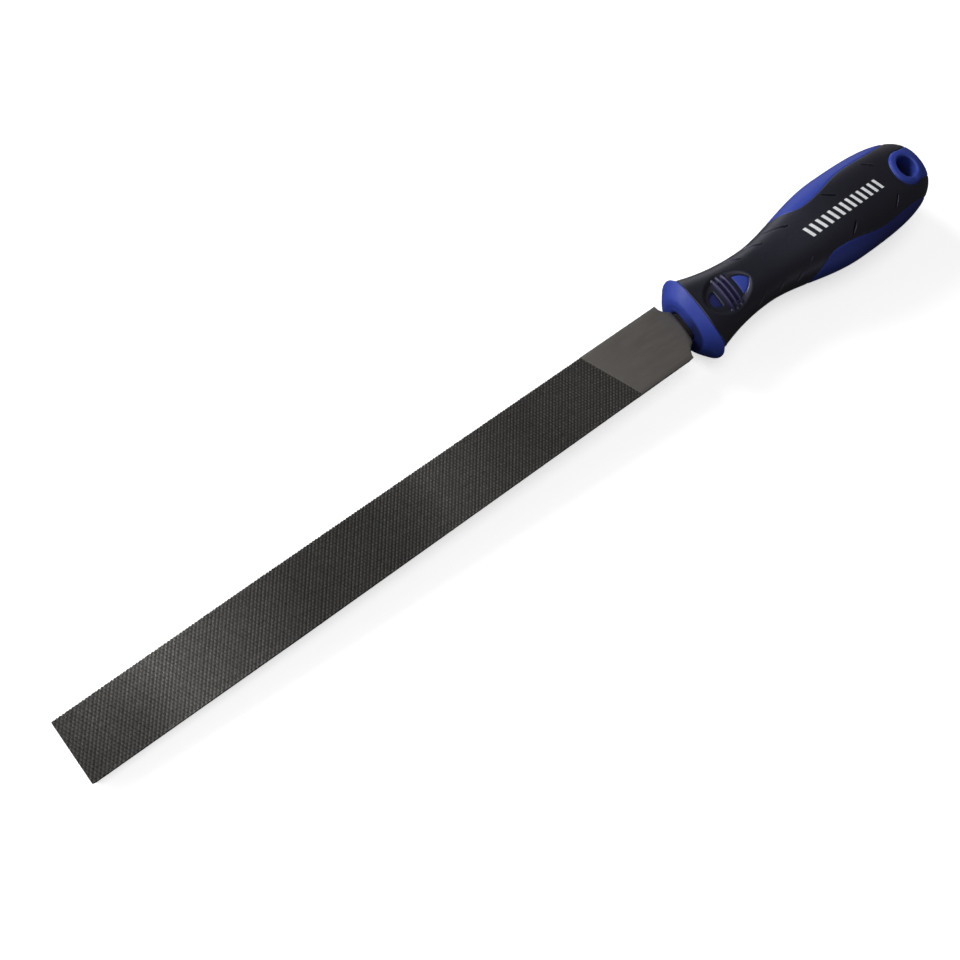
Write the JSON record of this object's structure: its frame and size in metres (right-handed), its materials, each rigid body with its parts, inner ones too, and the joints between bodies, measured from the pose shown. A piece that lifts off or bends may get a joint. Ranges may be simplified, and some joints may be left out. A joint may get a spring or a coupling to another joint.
{
  "type": "flat file",
  "caption": "Hand file with a flat double-cut steel body, bare heel and tang set in a two-component waisted handle with a hanging hole.",
  "frame": {"origin": "centre of the hanging hole, on the mid plane and centre line of the steel", "axes": "+X along the tool towards the butt of the handle, +Y across the width, +Z out of the upper cut face"},
  "size_m": [0.3079, 0.0292, 0.0242],
  "materials": {
    "hardened_steel": "hardened carbon steel, double cut on both faces, bare ground heel",
    "blue_plastic": "injection moulded polypropylene, satin gloss",
    "black_grip": "soft thermoplastic elastomer, fine matt spark texture"
  },
  "bodies": {
    "root": {"blade": "hardened_steel", "handle_core": "blue_plastic", "grip_sleeve": "black_grip"}
  },
  "joints": []
}
